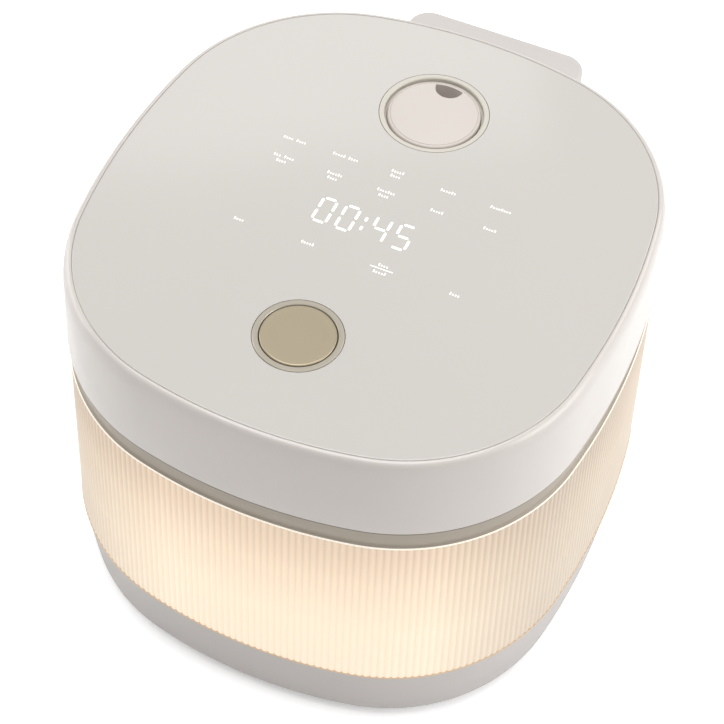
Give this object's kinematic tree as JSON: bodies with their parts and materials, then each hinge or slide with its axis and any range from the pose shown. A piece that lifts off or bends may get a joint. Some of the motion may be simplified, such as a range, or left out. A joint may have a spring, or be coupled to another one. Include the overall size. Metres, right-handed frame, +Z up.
{
  "type": "rice cooker",
  "caption": "Countertop rice cooker with a hinged glass-topped lid, lit ribbed body wall, lift-off steam vent cap, push-button latch and an inner pot.",
  "frame": {"origin": "on the table under the middle of the overall box; the pot's axis stands 15 mm in front of it", "axes": "+Z up, -Y towards the front (release button), +X to the user's right when facing the front from -Y"},
  "size_m": [0.2598, 0.304, 0.2044],
  "materials": {
    "white_plastic": "satin moulded",
    "touch_glass": "back-painted gloss",
    "champagne_metal": "spun satin",
    "bright_metal": "polished",
    "band_metal": "satin",
    "lit_panel": "ribbed translucent",
    "reflector_white": "matt",
    "led_lamp": "lit",
    "board_green": "solder mask",
    "component_dark": "moulded",
    "steel": "zinc plated",
    "bare_aluminium": "cast",
    "pot_coating": "speckled non-stick",
    "foot_rubber": "matt",
    "seal_silicone": "soft matt",
    "socket_black": "moulded",
    "pin_brass": "plated"
  },
  "bodies": {
    "body": {"base_housing": "white_plastic", "feet": "foot_rubber", "support_screws": "steel", "plate_supports": "steel", "inlet_socket": "socket_black", "inlet_pins": "pin_brass", "power_board": "board_green", "power_board_screws": "steel", "transformer": "component_dark", "relay": "component_dark", "capacitors": "component_dark", "side_panel": "lit_panel", "light_reflector": "reflector_white", "led_board": "board_green", "leds": "led_lamp", "trim_band": "band_metal", "top_collar": "white_plastic", "latch_keeper": "steel", "pot_well_liner": "bare_aluminium", "inner_pot": "pot_coating", "heating_plate": "bare_aluminium", "heating_element": "steel", "thermal_fuse": "component_dark", "sensor_bracket": "steel", "sensor_spring": "steel", "rear_cover": "white_plastic", "hinge_bracket": "steel", "hinge_pin": "steel", "hinge_spring": "steel"},
    "lid": {"lid_shell": "white_plastic", "lid_arms": "white_plastic", "glass_top": "touch_glass", "lid_base": "white_plastic", "lid_screws": "steel", "inner_lid_plate": "bare_aluminium", "inner_lid_clip": "component_dark", "pot_gasket": "seal_silicone", "vent_seat": "white_plastic", "cap_seal": "seal_silicone", "vent_gasket": "seal_silicone", "button_bezel": "bright_metal", "button_spring": "steel", "latch_pin": "steel", "latch_spring": "steel", "control_board": "board_green", "control_board_screws": "steel", "display_module": "component_dark", "touch_springs": "steel", "buzzer": "component_dark"},
    "vent": {"vent_cap": "white_plastic"},
    "button": {"release_button": "champagne_metal"},
    "latch": {"latch_hook": "component_dark"},
    "probe": {"sensor_probe": "bare_aluminium"}
  },
  "joints": [
    {"name": "lid_hinge", "type": "hinge", "parent": "body", "child": "lid", "pos_m": [0, 0.132, 0.166], "axis": [-1, 0, 0], "range_deg": [0, 85]},
    {"name": "vent_lift", "type": "slide", "parent": "lid", "child": "vent", "axis": [0, 0, 1], "range_m": [0, 0.03]},
    {"name": "button_press", "type": "slide", "parent": "lid", "child": "button", "axis": [0, 0, -1], "range_m": [0, 0.004], "stiffness_N_per_m": 500, "springref_m": -0.004, "deforming": ["button_spring"]},
    {"name": "latch_turn", "type": "hinge", "parent": "lid", "child": "latch", "pos_m": [0, -0.132, 0.176], "axis": [-1, 0, 0], "range_deg": [0, 6], "deforming": ["latch_spring"]},
    {"name": "probe_press", "type": "slide", "parent": "body", "child": "probe", "axis": [0, 0, -1], "range_m": [0, 0.002], "stiffness_N_per_m": 500, "springref_m": -0.003, "deforming": ["sensor_spring"]}
  ],
  "couplings": [
    {"joint": "latch_turn", "follows": "button_press", "rad_per_m": 24.4}
  ]
}
